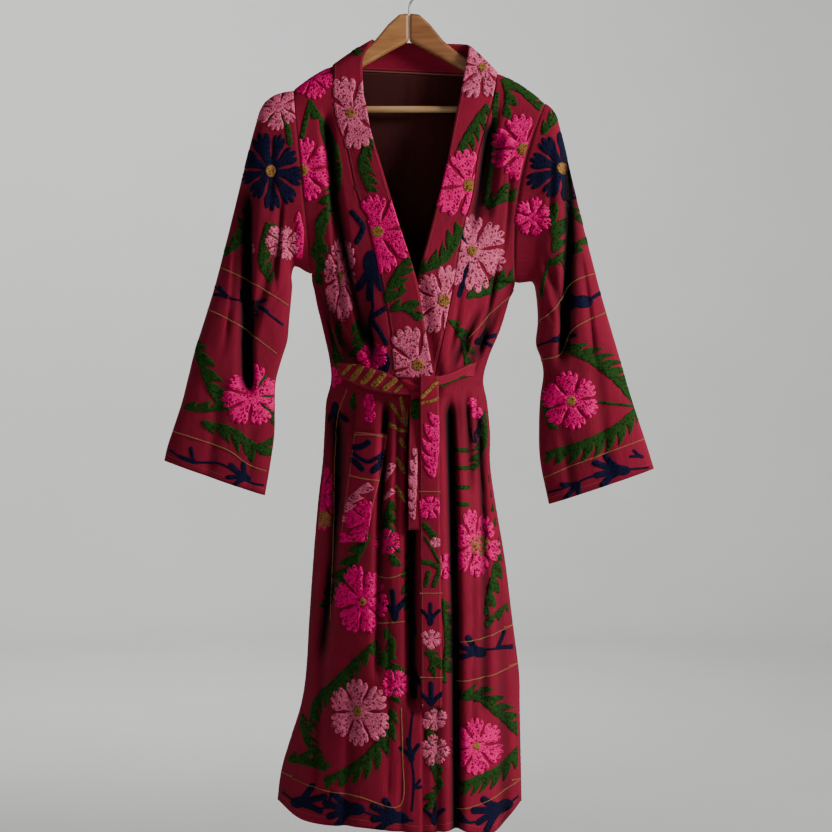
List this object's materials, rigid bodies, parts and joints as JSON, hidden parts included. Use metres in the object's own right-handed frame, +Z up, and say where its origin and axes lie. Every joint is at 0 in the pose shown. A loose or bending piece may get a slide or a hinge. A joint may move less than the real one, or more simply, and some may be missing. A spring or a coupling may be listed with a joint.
{
  "type": "long coat on a hanger",
  "caption": "Long maroon cotton robe coat with chain-stitch flowers, a collar band, wide sleeves, a patch pocket and a tie belt, on a wooden hanger",
  "frame": {"origin": "the bearing point inside the top of the hanger's hook, where a peg or rail holds it", "axes": "+Z up, -Y out of the coat's front, +X to the wearer's left"},
  "size_m": [0.792, 0.1351, 1.3797],
  "materials": {
    "embroidered_cotton": "matt plain weave with chain-stitch embroidery",
    "lining_cotton": "matt plain weave",
    "piping_cotton": "matt",
    "hanger_wood": "clear lacquer",
    "hook_steel": "plated, satin"
  },
  "bodies": {
    "root": {"back": "embroidered_cotton", "back_lining": "lining_cotton", "front_right": "embroidered_cotton", "front_left": "embroidered_cotton", "sleeve_right": "embroidered_cotton", "sleeve_left": "embroidered_cotton", "band_right": "embroidered_cotton", "band_left": "embroidered_cotton", "band_neck": "embroidered_cotton", "neck_piping": "piping_cotton", "pocket": "embroidered_cotton", "belt_right": "embroidered_cotton", "belt_left": "embroidered_cotton", "belt_back": "embroidered_cotton", "belt_knot": "embroidered_cotton", "belt_tail": "embroidered_cotton", "belt_tail_under": "embroidered_cotton", "hanger_arm_right": "hanger_wood", "hanger_arm_left": "hanger_wood", "hanger_bar": "hanger_wood", "hanger_hook": "hook_steel"}
  },
  "joints": []
}
